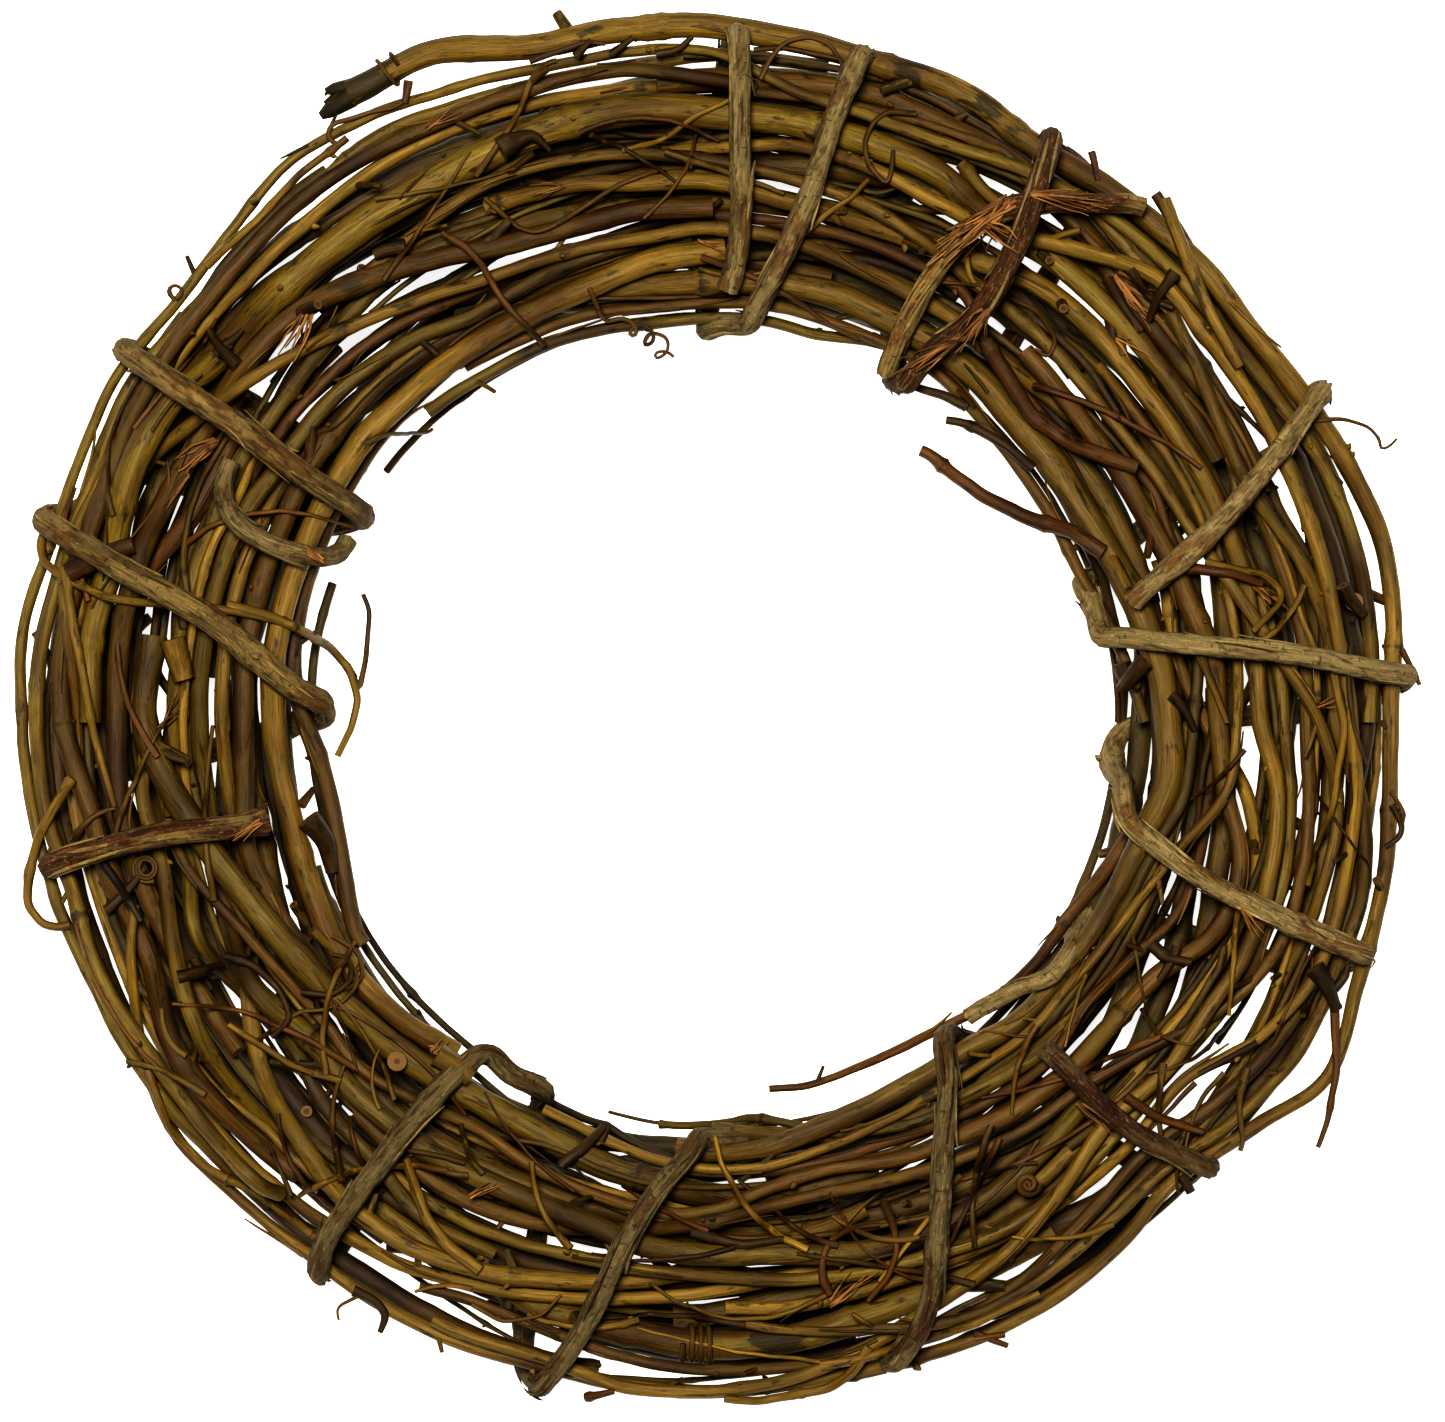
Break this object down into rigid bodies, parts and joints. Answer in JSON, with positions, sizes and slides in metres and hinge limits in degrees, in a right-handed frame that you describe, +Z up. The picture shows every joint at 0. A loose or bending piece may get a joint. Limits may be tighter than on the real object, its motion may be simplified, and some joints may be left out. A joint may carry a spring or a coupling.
{
  "type": "grapevine wreath",
  "caption": "Round wreath of bare grapevine canes coiled in a ring and wound with thicker, bark-covered vines; lies flat, with curling tendrils.",
  "frame": {"origin": "centre of the bounding box in plan, at the level the wreath rests on", "axes": "+Z up, out of the wreath's front; +Y towards its top, twelve o'clock; +X to its right"},
  "size_m": [0.313, 0.3116, 0.0549],
  "materials": {
    "cane_tan": "dry satin bark, light tan",
    "cane_olive": "dry satin bark, olive tan",
    "cane_brown": "dry bark, brown",
    "cane_red": "dry satin bark, reddish brown",
    "binder_bark": "rough, stringy bark, grey tan",
    "binder_dark_bark": "rough, stringy bark, dark red brown"
  },
  "bodies": {
    "root": {"cane_outer_1": "cane_tan", "cane_outer_2": "cane_olive", "cane_outer_3": "cane_tan", "cane_outer_4": "cane_olive", "cane_outer_5": "cane_brown", "cane_outer_6": "cane_brown", "cane_outer_7": "cane_brown", "cane_outer_8": "cane_olive", "cane_outer_9": "cane_tan", "cane_middle_1": "cane_tan", "cane_middle_2": "cane_red", "cane_middle_3": "cane_tan", "cane_middle_4": "cane_brown", "cane_middle_5": "cane_olive", "cane_middle_6": "cane_tan", "cane_middle_7": "cane_olive", "cane_middle_8": "cane_tan", "cane_middle_9": "cane_olive", "cane_middle_10": "cane_brown", "cane_middle_11": "cane_tan", "cane_middle_12": "cane_tan", "cane_middle_13": "cane_olive", "cane_middle_14": "cane_red", "cane_middle_15": "cane_tan", "cane_middle_16": "cane_red", "cane_inner_1": "cane_tan", "cane_inner_2": "cane_tan", "cane_inner_3": "cane_olive", "cane_inner_4": "cane_brown", "cane_inner_5": "cane_olive", "cane_inner_6": "cane_olive", "cane_inner_7": "cane_brown", "cane_inner_8": "cane_brown", "cane_inner_9": "cane_red", "cane_under_1": "cane_olive", "cane_under_2": "cane_brown", "cane_under_3": "cane_tan", "cane_under_4": "cane_olive", "cane_under_5": "cane_brown", "cane_under_6": "cane_tan", "binder_top": "binder_bark", "binder_right": "binder_bark", "binder_bottom": "binder_bark", "binder_left": "binder_dark_bark", "binder_left_short": "binder_bark", "binder_split_end": "binder_dark_bark"}
  },
  "joints": []
}
